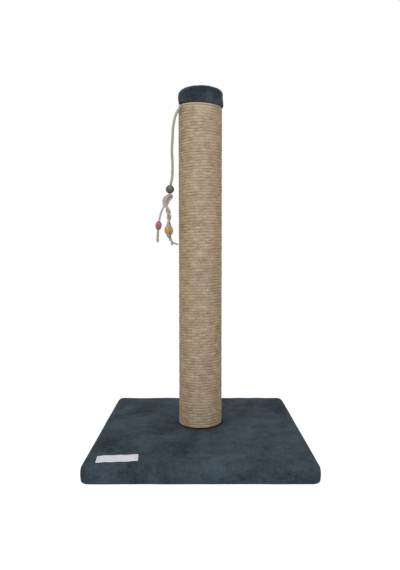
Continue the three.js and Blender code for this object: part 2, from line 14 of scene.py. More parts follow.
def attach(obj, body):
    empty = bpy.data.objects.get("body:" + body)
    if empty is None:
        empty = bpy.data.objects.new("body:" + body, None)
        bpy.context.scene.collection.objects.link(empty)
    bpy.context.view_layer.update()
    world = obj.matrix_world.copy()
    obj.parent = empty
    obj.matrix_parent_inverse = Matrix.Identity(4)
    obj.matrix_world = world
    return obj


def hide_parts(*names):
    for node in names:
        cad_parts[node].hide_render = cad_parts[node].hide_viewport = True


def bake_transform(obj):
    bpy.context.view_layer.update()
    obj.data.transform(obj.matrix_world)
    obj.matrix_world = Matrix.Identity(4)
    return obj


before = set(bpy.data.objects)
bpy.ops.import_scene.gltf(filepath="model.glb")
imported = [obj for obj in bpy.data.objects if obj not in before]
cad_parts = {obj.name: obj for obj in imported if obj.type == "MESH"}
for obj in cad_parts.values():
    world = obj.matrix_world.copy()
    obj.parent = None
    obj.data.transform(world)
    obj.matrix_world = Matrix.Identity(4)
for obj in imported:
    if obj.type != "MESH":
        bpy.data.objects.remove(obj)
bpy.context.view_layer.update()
MM = 0.001
TURN = 2 * math.pi
UP = np.array([0, 0, 1.0])

# --- Camera ---


def add_object(name, data, turned, place):
    """A camera or a lamp in the scene, turned by a matrix and then put in its place."""
    item = bpy.data.objects.new(name, data)
    item.matrix_world = Matrix.Translation(place) @ turned
    bpy.context.scene.collection.objects.link(item)
    return item


def place_camera():
    """The camera of the photograph: a metre in front of the post, a little over half its height, looking 3.2
    degrees down."""
    yaw, pitch, roll = -0.0003, 0.0567, -0.0007
    focal_pixels, photo_height, sensor = 495.61, 570, 36
    data = bpy.data.cameras.new("camera")
    data.lens = sensor * focal_pixels / photo_height
    data.sensor_width = sensor
    data.clip_start, data.clip_end = 0.02, 60
    turns = ((-yaw, "Z"), (math.pi / 2 - pitch, "X"), (roll, "Z"))
    aside, upright, level = (Matrix.Rotation(angle, 4, axis) for angle, axis in turns)
    place = (-0.0004, -0.9932, 0.3741)
    bpy.context.scene.camera = add_object("camera", data, aside @ upright @ level, place)


place_camera()

# --- Meshes ---


def make_mesh(name, points, faces, uv=None):
    """A smooth object from points and lists of faces, each an array of point numbers; uv holds one pair per
    corner."""
    mesh = bpy.data.meshes.new(name)
    face_lists = [face for part in faces for face in part.tolist()]
    mesh.from_pydata(points.tolist(), [], face_lists, shade_flat=False)
    if uv is not None:
        mesh.uv_layers.new(name="UVMap").data.foreach_set("uv", uv.astype(np.float32).ravel())
    mesh.validate()
    piece = bpy.data.objects.new(name, mesh)
    bpy.context.scene.collection.objects.link(piece)
    return piece


def make_piece(name, *skins):
    """One object from one or more skins, each its points, its lists of faces and its UV."""
    points, faces, uv = zip(*skins)
    starts = np.cumsum([0, *(len(part) for part in points)])
    faces = [part + start for parts, start in zip(faces, starts) for part in parts]
    return make_mesh(name, np.vstack(points), faces, np.vstack(uv))


def unit(vectors):
    """Vectors brought to a length of one."""
    vectors = np.asarray(vectors, float)
    return vectors / np.linalg.norm(vectors, axis=-1, keepdims=True)


def around(columns):
    """Even angles, once round."""
    return np.arange(columns) * TURN / columns


def lengths(path):
    """The length along a path at each of its points."""
    return np.append(0, np.cumsum(np.linalg.norm(np.diff(path, axis=0), axis=1)))


def rings_round(path, first, second, out, over):
    """Rings of points round a path: at each of its points, out times the first direction and over times the
    second, for every column."""
    return path[:, None] + out[..., None] * first[..., None, :] + over[..., None] * second[..., None, :]


def skin(rings, along=None, close_rows=False):
    """A closed skin over rings of points, shaped (rows, columns, 3): round in its columns, and either closed
    on itself in its rows or shut by a fan at each end. Seen from outside, columns run to the right where rows
    run up. UV is the length along the rows and the share round."""
    rows, columns, _ = rings.shape
    points = rings.reshape(-1, 3)
    if along is None:
        along = lengths(rings.mean(1))
    along = np.append(along, 2 * along[-1] - along[-2])
    row = np.arange(rows if close_rows else rows - 1)[:, None, None] + np.array([0, 0, 1, 1])
    column = np.arange(columns)[:, None] + np.array([0, 1, 1, 0])
    row, column = (part.reshape(-1, 4) for part in np.broadcast_arrays(row, column))
    faces = [row % rows * columns + column % columns]
    uv = [np.stack([along[row], column / columns], -1).reshape(-1, 2)]
    if not close_rows:
        points = np.vstack([points, rings[0].mean(0), rings[-1].mean(0)])
        for centre, (row, order) in enumerate([(0, [1, 0]), (rows - 1, [0, 1])], rows * columns):
            k = np.arange(columns)[:, None]
            edge = k + np.array(order)
            faces.append(np.hstack([np.full_like(k, centre), row * columns + edge % columns]))
            share = np.hstack([k + 0.5, edge]) / columns
            uv.append(np.stack([np.full_like(share, along[row]), share], -1).reshape(-1, 2))
    return points, faces, np.vstack(uv)


def spline(points, step):
    """A natural cubic through the points, by length along them, at about every step metres."""
    points = np.asarray(points, float)
    knots = lengths(points)
    gaps = np.diff(knots)
    slopes = np.diff(points, axis=0) / gaps[:, None]
    system = np.eye(len(points))
    inner = np.arange(1, len(gaps))
    system[inner, inner - 1] = gaps[:-1]
    system[inner, inner] = 2 * (gaps[:-1] + gaps[1:])
    system[inner, inner + 1] = gaps[1:]
    known = np.zeros_like(points)
    known[1:-1] = 6 * np.diff(slopes, axis=0)
    bend = np.linalg.solve(system, known)
    at = np.linspace(0, knots[-1], max(4, int(knots[-1] / step)))
    k = np.clip(np.searchsorted(knots, at, side="right") - 1, 0, len(gaps) - 1)
    h = gaps[k][:, None]
    path = 0
    for end, reach in ((k, knots[k + 1] - at), (k + 1, at - knots[k])):
        reach = reach[:, None]
        path = path + bend[end] * reach**3 / (6 * h) + (points[end] / h - bend[end] * h / 6) * reach
    return path


# --- Where things are ---


def round_post(angle):
    """The directions outwards and to the left of that, at an angle round the post."""
    c, s = np.cos(angle), np.sin(angle)
    return np.stack([c, s, 0 * c], -1), np.stack([-s, c, 0 * c], -1)


POST_Y = 16.5 * MM
OUT, SIDE = round_post(math.radians(-150))
HANG_OUT, HANG_HEIGHT = 45.32 * MM, 665.26 * MM
CAP_HEM = 670.3 * MM
TIE_HEIGHT = 667.8 * MM
BASE_TOP = 34.1 * MM


def on_post(angle, reach, height):
    """Places at an angle round the post's axis, so far out from it and so high."""
    return np.stack([reach * np.cos(angle), POST_Y + reach * np.sin(angle), height + 0 * angle], -1)


def toy_point(out, up, sideways=0.0):
    """A place on the toy: millimetres outwards and up from where it hangs, and sideways towards the front."""
    place = OUT * (HANG_OUT + out * MM) + SIDE * sideways * MM
    return place + np.array([0.0, POST_Y, HANG_HEIGHT + up * MM])


def toy_direction(out, up):
    """A direction on the toy, outwards and up."""
    return OUT * out + UP * up


def toy_path(route, step=0.8 * MM, sideways=0.0):
    """A smooth path through places on the toy."""
    return spline([toy_point(*place, sideways) for place in route], step)


def hem_height(angle):
    """The cap's hem, in metres up: highest at the left, where it is tucked in, lowest at the front right."""
    across = np.cos(angle)
    dip = 1.4 * np.clip(np.cos(angle + math.radians(42)), 0, 1) ** 6
    return CAP_HEM + (3.5 * across**2 - 2.5 * across + 0.45 - dip) * MM


def tie_height(angle):
    """The cord tied round the post: it follows the hem above it about halfway."""
    return TIE_HEIGHT + 0.55 * (hem_height(angle) - CAP_HEM)


# --- The toy's cords ---

# Radii of the tie, the hanging cord, the red bead's tail and the two twisted tails, the lengths in which
# their strands turn once, and how deep the grooves between strands are, as a share of the radius.
TIE, CORD, TAIL, TWIN = 2.2 * MM, 2.65 * MM, 2.0 * MM, 2.2 * MM
CORD_LAY, TAIL_LAY = 11 * MM, 9 * MM
GROOVE = 0.16
# Routes and places on the toy, in millimetres outwards and up from where it hangs.
HANGING_ROUTE = [(0, 0), (5.7, -7.4), (10.9, -18.5), (12.8, -25.4), (15.7, -41.6), (17.1, -62.7)]
HANGING_ROUTE += [(18.5, -87.2), (17.3, -105.5), (17.4, -124), (18.8, -140), (21.2, -149.6)]
HANGING_ROUTE += [(23.1, -159.7), (24, -168.2)]
RED_ROUTE = [(36.6, -193.5), (42, -204.8), (45.8, -218.4), (48, -230.7), (49.9, -255.4)]
TWIST_ROUTE = [(30.2, -193.5), (26.7, -204.1), (25.4, -212.6), (25.9, -221.4)]
STRAND_ROUTES = [
    [(25.6, -171.5), (33.4, -175.8), (36.6, -182), (34.6, -192.6)],
    [(23, -171.5), (30, -176.6), (33.4, -182.6), (33.6, -192.6)],
    [(20.4, -171.5), (26.6, -177.6), (30.4, -183.8), (32.4, -193)],
    [(17.8, -171.8), (23, -178.6), (27.4, -184.8), (31, -193)],
]
STRAIGHT_END = [(22, -257.4), (19.9, -262), (19.2, -268.6)]
CURLED_END = [(21.4, -258), (16.2, -262.8), (10.6, -265.4), (4.4, -265.8)]
GREEN_AT, RED_AT = (23.1, -159.7), (48, -230.7)
ORANGE_AT, OLIVE_AT = (30.7, -239.2), (21, -239.4)
TAILS_KNOT = (22.4, -256.4)
TWIN_SIDEWAYS = 4
TAIL_BEAD = 6 * MM
STRETCH = 1.5


def bulge(angle, twist, depth):
    """The section of three laid strands, as a share of the radius at angles round it:
    1 - depth x (1 - |cos(3 x (angle - twist) / 2)|)."""
    return 1 - depth * (1 - np.abs(np.cos(1.5 * (angle - twist[:, None]))))


def cord(path, radius, lay, columns, phase=0.0, reference=SIDE, growth=1.0):
    """The skin of a cord of three strands: rings of radius x growth x bulge along its path, which turn once
    in every lay, with both tips rounded off over one radius. The reference direction, never along the path,
    fixes where the angle starts."""
    tangent = unit(np.gradient(path, axis=0))
    out = unit(reference - (tangent * reference).sum(1)[:, None] * tangent)
    angle, along = around(columns), lengths(path)
    tip = 1 - np.clip(np.minimum(along, along[-1] - along) / radius, 0, 1)
    reach = radius * np.sqrt(np.clip(1 - tip**2, 0.02, 1)) * growth
    reach = reach[:, None] * bulge(angle, TURN * along / lay + phase, GROOVE)
    rings = rings_round(path, out, np.cross(tangent, out), reach * np.cos(angle), reach * np.sin(angle))
    return skin(rings, along)


def fuller(path, share, start, over):
    """How many times thicker a cord is: it grows by a share from start millimetres on, over the next few, or
    backwards from there where over is negative."""
    return 1 + share * np.clip((lengths(path) - start * MM) / (over * MM), 0, 1)


def twisted_route(side, bead):
    """One of the two tails: round its neighbour in a helix 2.3 mm out, then down through its bead."""
    middle = toy_path(TWIST_ROUTE, 1 * MM)
    turn = TURN * 1.25 * (lengths(middle) / lengths(middle)[-1])[:, None]
    helix = middle + side * 2.3 * MM * (np.cos(turn) * OUT + np.sin(turn) * SIDE)
    reach = TAIL_BEAD * STRETCH + 0.3 * MM
    ends = [toy_point(*bead, side * TWIN_SIDEWAYS) + z * reach * UP for z in (1, 0, -1)]
    knot = toy_point(*TAILS_KNOT, side)
    ends.append(knot + unit(ends[2] - knot) * 3.2 * MM)
    return spline([*helix[::3][:-1], *ends], 0.8 * MM)


hanging_path = toy_path(HANGING_ROUTE, 0.9 * MM)
red_path = toy_path(RED_ROUTE)
orange_path, olive_path = twisted_route(1, ORANGE_AT), twisted_route(-1, OLIVE_AT)
hanging_cord = make_piece("hanging_cord", cord(hanging_path, CORD, CORD_LAY, 18))
red_tail = make_piece("red_tail", cord(red_path, TAIL, TAIL_LAY, 16, growth=fuller(red_path, 0.25, 48, 3)))
orange_tail, olive_tail = (
    make_piece(name, cord(path, TWIN, TAIL_LAY, 16, phase, growth=fuller(path, 0.18, 28, -6)))
    for name, path, phase in (("orange_tail", orange_path, 0.0), ("olive_tail", olive_path, 1.0))
)

# --- Knots and beads ---


def wrapped_knot(at, axis, radius, height, turns, cord_radius):
    """A knot: cord wound over itself, the winding's radius swelling in the middle as the share's sine."""
    axis = unit(axis)
    first = unit(np.cross(axis, SIDE + 0.3 * OUT))
    share = np.linspace(0, 1, int(turns * 26))[:, None]
    turn = TURN * turns * share
    reach = (radius - cord_radius) * (0.45 + 0.55 * np.sin(math.pi * share)) + 0.3 * MM * np.sin(3 * turn)
    centre = at + (share - 0.5) * (height - 2 * cord_radius) * axis
    path = centre + reach * (np.cos(turn) * first + np.sin(turn) * np.cross(axis, first))
    return cord(path, cord_radius, 8 * MM, 12, reference=axis)


def lump(at, radii, dents, depth):
    """A soft lump: an egg of three radii in millimetres, outwards, sideways and up. Slanting grooves make
    each radius smaller, times 1 - depth x |sin(dents x angle / 2 + 2.2 x rise)| ^ 0.6."""
    rise = np.linspace(-math.pi / 2, math.pi / 2, 26)[1:-1, None]
    angle = around(36)
    dip = 1 - depth * np.abs(np.sin(dents * angle / 2 + 2.2 * rise)) ** 0.6
    egg = np.stack([np.cos(rise) * np.cos(angle), np.cos(rise) * np.sin(angle), np.sin(rise) + 0 * angle], -1)
    return skin(toy_point(*at) + (egg * radii * dip[..., None]) @ np.stack([OUT, SIDE, UP]) * MM)


def strand(route, radius, sideways, phase=0.0):
    """A short end of cord along a route of places on the toy."""
    return cord(toy_path(route, sideways=sideways), radius, TAIL_LAY, 14, phase)


def bead(name, at, axis, radius, stretch, bore):
    """A turned bead: a sphere stretched along its axis and bored, its mouths eased over half a millimetre.
    Its profile is radius x sin and radius x stretch x cos of the angle from the axis."""
    axis = unit(axis)
    first = unit(np.cross(axis, SIDE))
    ease = 0.5 * MM
    mouth = math.asin((bore + ease) / radius)
    polar = np.linspace(mouth, math.pi - mouth, 22)
    quarter = np.linspace(0.15, 1, 4) * math.pi / 2
    high = math.cos(mouth) * radius * stretch
    inside = np.linspace(-high + 2 * ease, high - 2 * ease, 4)
    lip_reach, lip_level = bore + ease * (1 - np.sin(quarter)), high - ease * (1 - np.cos(quarter))
    reach = np.concatenate([radius * np.sin(polar), lip_reach, [bore] * 4, lip_reach[::-1]])[:, None]
    level = np.concatenate([radius * stretch * np.cos(polar), -lip_level, inside, lip_level[::-1]])[:, None]
    angle = around(32)
    across = reach * np.cos(angle), reach * np.sin(angle)
    rings = rings_round(at + level * axis, first, np.cross(axis, first), *across)
    return make_piece(name, skin(rings, np.arange(len(level)) * MM, close_rows=True))


# The loose knot's strands lie side by side, turned in and out of the toy's plane by turns.
strands = [strand(route, 2.3 * MM, 1.1 if k % 2 else -1.1, 0.7 * k) for k, route in enumerate(STRAND_ROUTES)]
collar = wrapped_knot(toy_point(22.6, -171.6), toy_direction(1, -9.5), 5.6 * MM, 8 * MM, 2.4, 1.9 * MM)
knot_collar = make_piece("knot_collar", collar, strands[3])
toy_knot = make_piece("crossing_knot", lump((32.8, -190.4), (4.9, 3.6, 5.2), 4, 0.1), *strands[:3])
red_end = make_piece("red_end_knot", lump((50, -258), (3, 3, 5.2), 3, 0.12))
tails_end = make_piece(
    "twin_end_knot",
    lump(TAILS_KNOT, (3.4, 3.2, 3.9), 3, 0.16),
    strand(STRAIGHT_END, 2.3 * MM, 1),
    strand(CURLED_END, 1.6 * MM, -1, 0.8),
)
tie_knot = make_piece("tie_knot", lump((0.4, 2.6), (3.2, 3.8, 2.9), 3, 0.14))

green_bead = bead("green_wood_bead", toy_point(*GREEN_AT), toy_direction(1, -9.5), 8.3 * MM, 1, 2.7 * MM)
red_bead = bead("red_wood_bead", toy_point(*RED_AT), toy_direction(1.6, -14), TAIL_BEAD, STRETCH, 2.2 * MM)
orange_bead, olive_bead = (
    bead(name, toy_point(*at, sideways), -UP, TAIL_BEAD, STRETCH, 2.4 * MM)
    for name, at, sideways in (
        ("orange_wood_bead", ORANGE_AT, TWIN_SIDEWAYS),
        ("olive_wood_bead", OLIVE_AT, -TWIN_SIDEWAYS),
    )
)

# --- Rope ---

ROPE = 2.78 * MM
ROPE_CENTRE = 40.86 * MM
ROPE_LOW = 34.6 * MM
ROPE_LAY = 17 * MM
ROPE_TURNS = 114
END_TURNS = 12
BACK = math.pi / 2


def rope_height(turn):
    """The rope's height after so many turns: even, but over the last turns each turn runs level and steps up
    at the back, so that the last one lies along the tied cord all round."""
    level = TIE_HEIGHT - (TIE + ROPE + 0.1 * MM)
    pitch = (level - ROPE_LOW) / (ROPE_TURNS - 0.5)
    share = turn - np.floor(turn)
    into, step = turn - ROPE_TURNS + END_TURNS, 0.15
    rising = 0.5 * np.clip((share - 1 + step) / step, 0, 1)
    stepped = 0.5 + rising - 0.5 * np.clip((step - share) / step, 0, 1)
    near_top = np.clip(into / 9, 0, 1)
    even = np.minimum(ROPE_LOW + pitch * (turn + near_top * (stepped - share)), level)
    follow = np.clip(into / 11, 0, 1) ** 1.3
    return even + follow * (tie_height(TURN * turn + BACK) - TIE_HEIGHT)


def drift(turn):
    """How far turns lie up or down together: waves that run a number of times round the post while they run
    so many metres up it, each with its phase, and none at the rope's ends."""
    angle, height = TURN * turn, rope_height(turn)
    waves = ((1, 0.130, 0.4), (2, 0.092, 2.1), (3, 0.071, 4.0), (5, -0.057, 1.3), (7, 0.049, 5.2))
    total = 0 * turn
    for times, along, phase in waves:
        total = total + np.sin(times * angle + TURN * height / along + phase)
    return 0.22 * MM * total * np.clip(np.minimum(turn, ROPE_TURNS - turn) / 5, 0, 1)


def squarer(wave, power):
    """A sine or cosine raised to a power with its sign kept, which makes a round section squarer."""
    return np.sign(wave) * np.abs(wave) ** power


def wound_rope(name, first, last, steps, columns):
    """Turns of rope round the tube, from one turn number to another. The rope swells and shrinks a few
    percent along its length, lies a hair higher or lower, its three strands turn once in every lay, and its
    turns press each other nearly square: its section is a circle with sine and cosine raised to 0.45, a
    little taller than wide."""
    turn = np.linspace(first, last, int((last - first) * steps) + 1)
    angle = TURN * turn + BACK
    along = turn * TURN * ROPE_CENTRE
    swell = 1 + 0.03 * np.sin(along / 0.031) + 0.025 * np.sin(along / 0.0127 + 1)
    wander = 0.1 * MM * (np.sin(along / 0.047) + np.sin(along / 0.0193 + 2)) + drift(turn)
    reach = ROPE_CENTRE + 0.12 * MM * np.sin(along / 0.023 + 0.6)
    section = around(columns)
    radius = (ROPE * swell)[:, None] * bulge(section, TURN * along / ROPE_LAY, 0.04)
    wide, tall = radius * squarer(np.cos(section), 0.45), 1.05 * radius * squarer(np.sin(section), 0.45)
    out, tangent = round_post(angle)
    path = on_post(angle, reach, rope_height(turn) + wander)
    return make_piece(name, skin(rings_round(path, out, np.cross(tangent, out), wide, tall), along))


rope_foot = wound_rope("rope_foot", 0, END_TURNS, 150, 16)
rope_body = wound_rope("rope_body", END_TURNS + 0.0002, ROPE_TURNS - END_TURNS, 90, 12)
rope_head = wound_rope("rope_head", ROPE_TURNS - END_TURNS + 0.0002, ROPE_TURNS, 150, 16)


def tie_ring():
    """The cord tied round the post: a ring in the groove between the rope's last turn and the hem."""
    angle, section = around(240), around(14)
    reach, twists = 41.3 * MM, 24
    radius = TIE * bulge(section, twists * angle, GROOVE)
    path = on_post(angle, reach, tie_height(angle))
    rings = rings_round(path, round_post(angle)[0], UP, radius * np.cos(section), radius * np.sin(section))
    return make_piece("tie_ring", skin(rings, reach * angle, close_rows=True))


tie = tie_ring()


def stray_fibres(name, turn, seed, tall, wide, stand, climb):
    """Fibres that stand off the rope: thin tapered blades of three steps, each leaving its turn at a slant
    and curling back. turn says where along the rope each one starts, tall and wide are the least and the most
    length and half width in millimetres, and stand and climb how far they rise off the rope and up or down
    the post."""
    rng = np.random.default_rng(seed)
    count = len(turn)
    draw = lambda low, high: rng.uniform(low, high, count)[:, None]
    section = draw(-1.3, 1.3)
    angle = TURN * turn + BACK
    out, tangent = round_post(angle)
    normal = out * np.cos(section) + UP * np.sin(section)
    root = on_post(angle, ROPE_CENTRE, rope_height(turn) + drift(turn)) + normal * (ROPE * 0.93)
    length = draw(*tall) * MM
    lean = tangent * rng.choice([-1, 1], count)[:, None] + normal * draw(0.3 * stand, stand)
    lean = unit(lean + UP * draw(-climb, climb))
    curl = -normal * draw(0.0, 0.4 * stand) + UP * draw(-0.25, 0.25)
    across = unit(np.cross(lean, normal))
    width = draw(*wide) * MM
    rows = []
    for share in (0.0, 0.4, 0.75, 1.0):
        middle = root + length * (share * lean + share**2 * curl)
        half = width * (1 - 0.85 * share)
        rows += [middle - across * half, middle + normal * half * 0.9, middle + across * half]
    first = np.arange(count)[:, None] * len(rows)
    sides = np.array([[0, 1, 4, 3], [1, 2, 5, 4], [2, 0, 3, 5]]).ravel()
    quads = (first[:, None] + np.arange(0, 9, 3)[:, None] + sides).reshape(-1, 4)
    caps = (first + np.array([0, 2, 1, 9, 10, 11])).reshape(-1, 3)
    return make_mesh(name, np.stack(rows, 1).reshape(-1, 3), [quads, caps])


def scratched_turns(count, seed):
    """Places along the rope where claws have pulled it: mostly at the front, which is half a turn on."""
    rng = np.random.default_rng(seed)
    whole = np.floor(rng.uniform(1, ROPE_TURNS - 2, count))
    return whole + 0.5 + 0.08 * rng.normal(0, 1, count).clip(-3, 3)


anywhere = np.random.default_rng(7).uniform(0.2, ROPE_TURNS - 0.3, 7500)
fibres = stray_fibres("rope_fibres", anywhere, 8, (2.5, 7.5), (0.05, 0.09), 0.6, 0.35)
frays = stray_fibres("rope_frays", scratched_turns(3800, 9), 10, (4, 12), (0.3, 0.65), 0.12, 0.8)

# --- Plush ---


def arc(x, y, radius, start, end, steps):
    """Places on a circle about x and y, from one angle to another in degrees."""
    angles = np.radians(np.linspace(start, end, steps))
    return [(x + radius * math.cos(angle), y + radius * math.sin(angle)) for angle in angles]


def rounded_square(half, corner, columns):
    """Points and outward directions round a square with round corners, evenly spaced, from the middle of its
    right side and to the left: half a side, a quarter circle and half a side, turned to each corner."""
    side = half - corner
    quarter = 2 * side + corner * math.pi / 2
    way = (np.arange(columns) + 0.5) / columns * 4 * quarter
    passed = np.floor(way / quarter)
    way = way - passed * quarter
    normal, along = (part[:, :2] for part in round_post(np.clip((way - side) / corner, 0, math.pi / 2)))
    straight = np.minimum(way, side) - side + np.maximum(way - side - corner * math.pi / 2, 0)
    place = side + corner * normal + along * straight[:, None]
    right, left = (part[:, :2] for part in round_post(passed * math.pi / 2))
    return [part[:, :1] * right + part[:, 1:] * left for part in (place, normal)]


def waviness(x, y, scale, seed):
    """A smooth uneven field, about -1 to 1: a few sines of different directions and lengths, summed."""
    rng = np.random.default_rng(seed)
    total = 0 * x
    for _ in range(9):
        heading, length, phase = rng.uniform(0, TURN), scale * rng.uniform(0.6, 1.8), rng.uniform(0, TURN)
        total = total + np.sin(TURN * (x * math.cos(heading) + y * math.sin(heading)) / length + phase)
    return total / 3.5


def base_plush():
    """The base's cover as one closed shell. Its profile runs from the hem's inner edge, out under the base,
    round the bottom edge, up the side, round the top edge, over the top to the post's seat and the bolt hole,
    and back inside at the plush's thickness. Its places are millimetres in from the edge and up, and from the
    post's axis and up for the seat, whose rings turn from rounded squares into circles."""
    columns, half, drawn = 480, 200, 14
    edge, normal = rounded_square(half * MM, 15 * MM, columns)
    heading = np.arctan2(edge[:, 1] - POST_Y, edge[:, 0])
    circle = round_post(heading)[0][:, :2]
    at_post = np.array([0, POST_Y])

    def level_ring(inset, height, centre=0.0):
        """A ring drawn in by inset: exactly while the corners last, then shrunk towards a centre."""
        share = max(0.0, (inset - drawn) / (half - drawn))
        flat = (edge - normal * min(inset, drawn) * MM) * (1 - share) + share * centre
        return np.column_stack([flat, np.full(columns, height * MM)])

    top, ceiling, floor = 34.1, 28.6, 3.0
    under = [(50.8, 0.9), (50.6, 0.25), (50.0, 0)]
    under += [(inset, 0) for inset in (46, 42, 40, 38.5, 37, 35, 30, 24, 16, 10, 6)]
    outside = arc(4.2, 4.2, 4.2, 270, 180, 8) + [(-0.35, 9), (-0.5, 13), (-0.3, 18)]
    outside += arc(14, 20.1, 14, 180, 90, 12)
    over = [(inset, top) for inset in (18, 24, 32, 44, 58, 76, 96, 120)]
    seat = [(66, top), (56, 34.0), (49, 33.7), (45.9, 32.6), (45, 31.9), (42.5, 31.6), (25, 31.6)]
    seat += [(4.6, 31.6), (4.6, ceiling), (25, ceiling), (60, ceiling)]
    lining = [(inset, ceiling) for inset in (120, 60, 20)]
    inside = arc(13.3, 20.8, 7.8, 90, 180, 7) + [(5.5, 9), (5.5, 4.6), (6.4, floor), (12, floor), (30, floor)]
    inside += [(44, floor), (50, 2.9), (50.6, 2.5), (50.8, 1.8)]
    rings = [level_ring(*place) for place in under + outside]
    rings += [level_ring(*place, at_post) for place in over]
    for k, (radius, height) in enumerate(seat):
        ring = circle * radius * MM + at_post
        if k == 0:
            ring = 0.8 * ring + 0.2 * rings[-1][:, :2]
        rings.append(np.column_stack([ring, np.full(columns, height * MM)]))
    rings += [level_ring(*place, at_post) for place in lining]
    rings += [level_ring(*place) for place in inside]
    points = np.stack(rings)

    inset = np.array(under)[:, :1]
    corner_line = np.abs(np.abs(edge[:, 0]) - np.abs(edge[:, 1]))
    fold = np.exp(-((corner_line / (2.2 * MM)) ** 2)) * (inset > 9)
    pressed = np.exp(-(((inset - 38.5) / 2.2) ** 2))
    points[: len(under), :, 2] += (1.5 * fold + 1.1 * pressed * (1 - fold)) * MM

    outer = np.zeros((len(points), 1))
    outer[len(under) : len(under + outside + over) + 3] = 1
    x, y, z = points[..., 0], points[..., 1], points[..., 2]
    soft = 0.35 * waviness(x, y, 0.11, 3) + 0.22 * waviness(x, y + z, 0.034, 4)
    away = np.clip((np.hypot(x, y - POST_Y) - 47 * MM) / (10 * MM), 0, 1)
    points[..., 2] += (soft - 0.45) * outer * np.clip((z - 24 * MM) / (8 * MM), 0, 1) * away * MM
    sideways = outer * (1 - np.clip((z - 20 * MM) / (10 * MM), 0, 1))
    points[..., :2] += (soft * sideways * 0.7 * MM)[..., None] * normal
    return make_piece("base_plush", skin(points[::-1], np.arange(len(points)) * MM, close_rows=True))


def cap_plush():
    """The cap as one closed shell: its profile runs from the middle of its inside, down the inner wall, round
    the hem, up the outer wall, over the rim and in across its flat top. Its places are millimetres from the
    axis and up, and the share by which they follow the hem, which isn't level, stands out a little at the
    right and is drawn in at the left."""
    angle = around(192)
    inner, outer, rim, hem_radius = 37.85, 44.5, 7, 2.6
    hem, inside, top = CAP_HEM / MM, 697.6, 703.5
    profile = [(2, inside, 0), (20, inside, 0), (34, inside, 0), (inner, inside - 0.3, 0), (inner, 690.6, 0)]
    profile += [(inner, 682, 0.5), (inner, 675, 0.5), (inner + 0.1, hem + 1.5, 0.3)]
    profile += [(inner + 0.9, hem + 0.9, 0.3), (inner + 1.8, hem + 1.8, 0.8)]
    profile += [(*place, 1) for place in arc(outer - hem_radius, hem + hem_radius, hem_radius, -110, 0, 8)]
    profile += [(outer + 0.1, 677.6, 0.85), (outer + 0.15, 682.6, 0.55), (outer + 0.1, 687.6, 0.25)]
    profile += [(outer, 692, 0.08)]
    profile += [(*place, 0) for place in arc(outer - rim, inside - 1.9, rim, 0, 90, 10)]
    profile += [(33, top - 0.4, 0), (26, top - 0.1, 0), (16, top, 0), (8, top, 0), (2, top, 0)]
    radius, height, follow = np.array(profile).T[..., None]
    flare = (1.4 * np.cos(angle) - 0.1) * follow * (radius > inner + 0.1)
    tilt = 0.8 * np.cos(angle) * np.clip((radius - 30) / 12, 0, 1) * (height > 692)
    x, y = radius * np.cos(angle), radius * np.sin(angle)
    soft = waviness(x, y + height, 46, 9) * 0.35 * (radius > inner + 0.5)
    sag = 0.5 * waviness(x, y, 30, 12) * (height > 699) * np.clip(1 - radius / 60, 0, 1)
    reach = radius + flare + tilt + soft
    level = np.minimum(height + (hem_height(angle) / MM - hem) * follow + sag, 704.4)
    points = np.stack([reach * np.cos(angle), reach * np.sin(angle) + POST_Y / MM, level], -1)
    return make_piece("cap_plush", skin(points * MM, np.arange(len(profile)) * MM))


base_plush_piece, cap_plush_piece = base_plush(), cap_plush()


def surface_samples(piece, density, seed, keep):
    """Points spread evenly over a mesh's faces that keep() accepts, by area, with their normals."""
    rng = np.random.default_rng(seed)
    mesh = piece.data
    mesh.calc_loop_triangles()
    corners = np.empty(len(mesh.loop_triangles) * 3, np.int32)
    mesh.loop_triangles.foreach_get("vertices", corners)
    points = np.empty(len(mesh.vertices) * 3, np.float32)
    mesh.vertices.foreach_get("co", points)
    a, b, c = points.reshape(-1, 3)[corners.reshape(-1, 3).T].astype(float)
    cross = np.cross(b - a, c - a)
    area = np.linalg.norm(cross, axis=1) / 2
    good = keep((a + b + c) / 3, cross / (2 * area[:, None] + 1e-15)) & (area > 1e-12)
    a, b, c, cross, area = a[good], b[good], c[good], cross[good], area[good]
    count = int(area.sum() * density)
    pick = rng.choice(len(area), count, p=area / area.sum())
    u, v = rng.random(count), rng.random(count)
    flip = u + v > 1
    u[flip], v[flip] = 1 - u[flip], 1 - v[flip]
    place = a[pick] + u[:, None] * (b - a)[pick] + v[:, None] * (c - a)[pick]
    return place, cross[pick] / (2 * area[pick, None])


def pile_tips(name, place, normal, lean, seed, height, width):
    """Tips of the pile: short three-sided spikes on the given points, each bent with the nap."""
    rng = np.random.default_rng(seed)
    count = len(place)
    up = unit(normal + 0.55 * lean + rng.normal(0, 0.28, (count, 3)))
    first = unit(np.cross(up, rng.normal(0, 1, (count, 3))))
    second = np.cross(up, first)
    tall = height * rng.uniform(0.6, 1.15, count)[:, None]
    wide = width * rng.uniform(0.7, 1.3, count)[:, None]
    root = place - normal * 0.4 * MM
    corners = [root + wide * (math.cos(a) * first + math.sin(a) * second) for a in around(3)]
    points = np.stack([*corners, root + tall * up + 0.25 * tall * lean], 1).reshape(-1, 3)
    faces = (np.arange(count)[:, None] * 4 + np.array([0, 1, 3, 1, 2, 3, 2, 0, 3, 0, 2, 1])).reshape(-1, 3)
    return make_mesh(name, points, [faces])


# --- Tag, staples ---

TAG_AT = (-140.5 * MM, -174.2 * MM)
TAG_TURN = math.radians(5.5)


